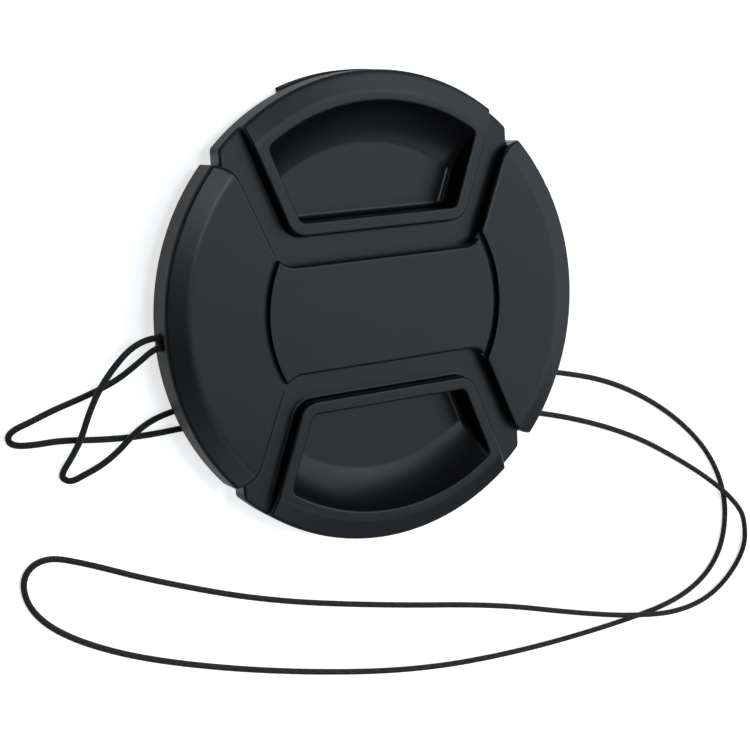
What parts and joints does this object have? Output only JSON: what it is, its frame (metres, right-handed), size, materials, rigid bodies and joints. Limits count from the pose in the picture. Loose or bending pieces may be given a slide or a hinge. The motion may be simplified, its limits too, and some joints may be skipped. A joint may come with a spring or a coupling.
{
  "type": "lens cap with leash cord",
  "caption": "Round centre-pinch lens cap in black plastic, with spring-loaded finger cups, thread teeth and a thin leash cord.",
  "frame": {"origin": "under the middle of the cap, on the surface that it lies on (the rear ends of the clips' teeth)", "axes": "+Z along the cap's axis towards its front face, +Y towards the upper clip, +X to the right seen from the front"},
  "size_m": [0.1167, 0.0848, 0.0074],
  "materials": {
    "shell": "fine moulded grain, satin",
    "clip": "fine moulded grain, satin",
    "back": "matt",
    "steel": "drawn wire",
    "cord": "twisted nylon cord"
  },
  "bodies": {
    "body": {"body": "shell", "back_plate": "back", "left_spring": "steel", "right_spring": "steel", "cord": "cord", "cord_knot": "cord"},
    "upper_clip": {"upper_clip": "clip"},
    "lower_clip": {"lower_clip": "clip"}
  },
  "joints": [
    {"name": "upper_pinch", "type": "slide", "parent": "body", "child": "upper_clip", "axis": [0, -1, 0], "range_m": [0, 0.003], "stiffness_N_per_m": 1200, "springref_m": -0.001, "deforming": ["left_spring", "right_spring"]},
    {"name": "lower_pinch", "type": "slide", "parent": "body", "child": "lower_clip", "axis": [0, 1, 0], "range_m": [0, 0.003], "stiffness_N_per_m": 1200, "springref_m": -0.001, "deforming": ["left_spring", "right_spring"]}
  ]
}
